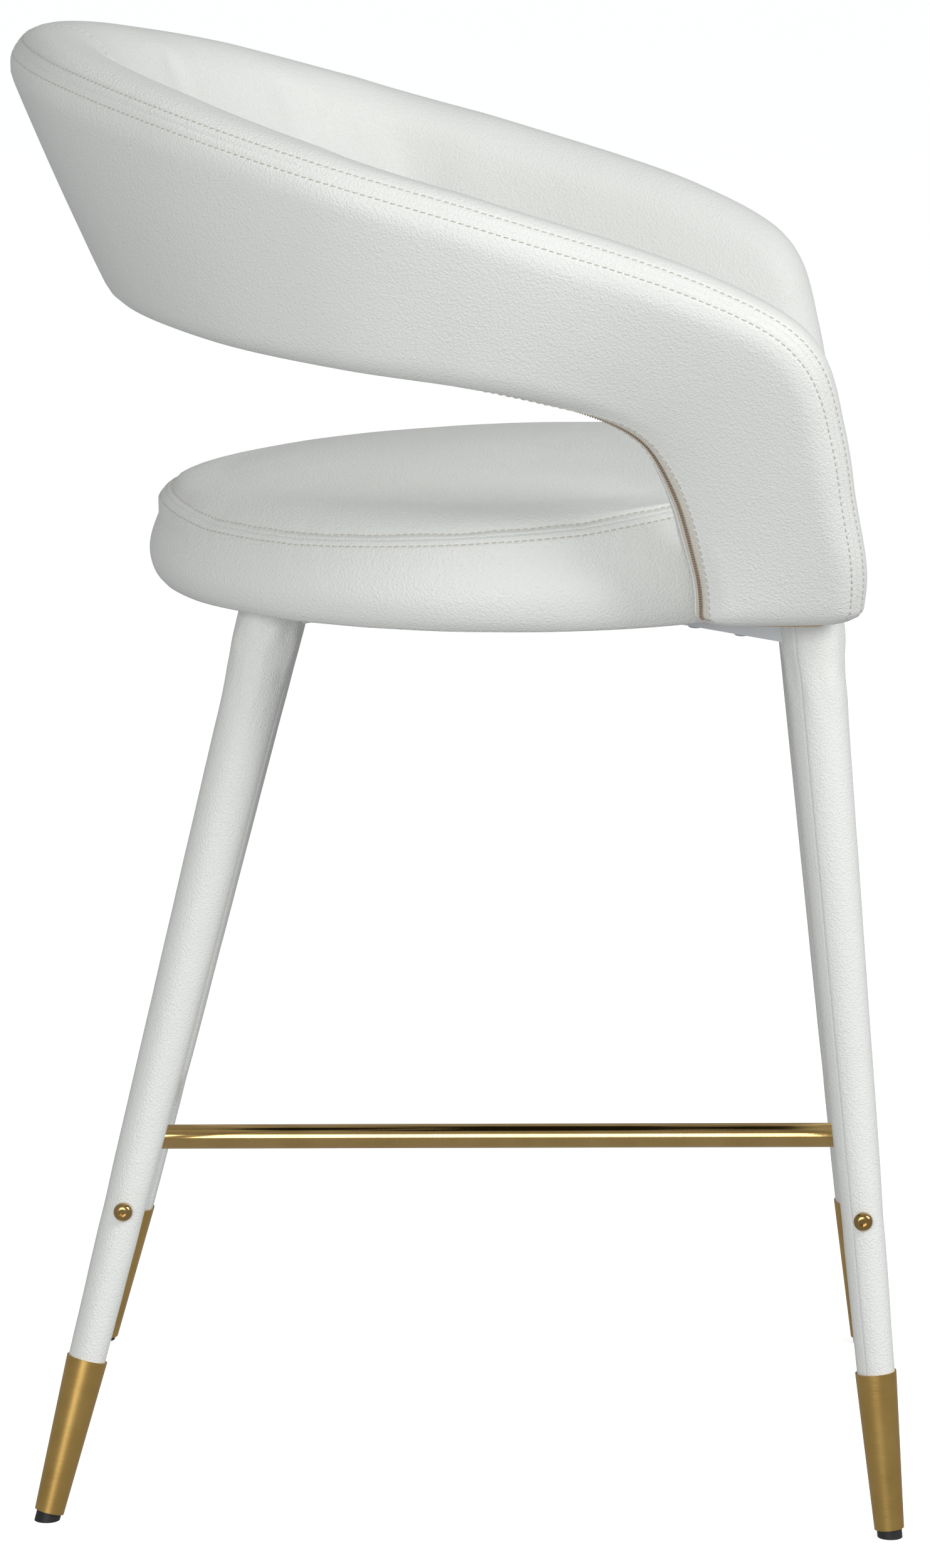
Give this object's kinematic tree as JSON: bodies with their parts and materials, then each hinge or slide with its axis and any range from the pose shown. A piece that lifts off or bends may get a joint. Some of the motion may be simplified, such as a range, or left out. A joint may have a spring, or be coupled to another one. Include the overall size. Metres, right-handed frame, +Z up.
{
  "type": "bar stool",
  "caption": "Counter-height stool with a round padded seat, an open padded band as back and arms, splayed wrapped legs in gold ferrules and an H-shaped footrest.",
  "frame": {"origin": "centre of the bounding box on the floor", "axes": "+Z up, -Y towards the front of the stool, X from side to side"},
  "size_m": [0.613, 0.5689, 0.92],
  "materials": {
    "white_leather": "satin pebble grain",
    "plywood": "raw",
    "tube_steel": "matt",
    "white_steel": "powder coated",
    "brushed_gold": "brushed",
    "polished_gold": "polished",
    "black_plastic": "matt",
    "black_nonwoven": "matt",
    "cream_zip": "woven",
    "zinc_steel": "satin plated"
  },
  "bodies": {
    "root": {"arm_bolts": "zinc_steel", "arm_inserts": "zinc_steel", "back_arm_core": "plywood", "back_arm_pad": "white_leather", "cover_zip": "cream_zip", "dust_cover": "black_nonwoven", "ferrule_front_left": "brushed_gold", "ferrule_front_right": "brushed_gold", "ferrule_rear_left": "brushed_gold", "ferrule_rear_right": "brushed_gold", "footrest_bolts": "polished_gold", "footrest_centre_bar": "polished_gold", "footrest_front_bar": "polished_gold", "footrest_inserts": "zinc_steel", "footrest_rear_bar": "polished_gold", "glide_front_left": "black_plastic", "glide_front_right": "black_plastic", "glide_rear_left": "black_plastic", "glide_rear_right": "black_plastic", "leg_bracket_front_left": "white_steel", "leg_bracket_front_right": "white_steel", "leg_bracket_rear_left": "white_steel", "leg_bracket_rear_right": "white_steel", "leg_tube_front_left": "tube_steel", "leg_tube_front_right": "tube_steel", "leg_tube_rear_left": "tube_steel", "leg_tube_rear_right": "tube_steel", "leg_wrap_front_left": "white_leather", "leg_wrap_front_right": "white_leather", "leg_wrap_rear_left": "white_leather", "leg_wrap_rear_right": "white_leather", "seat_board": "plywood", "seat_bolts": "zinc_steel", "seat_cushion": "white_leather", "seat_washers": "zinc_steel", "t_nuts": "zinc_steel"}
  },
  "joints": []
}
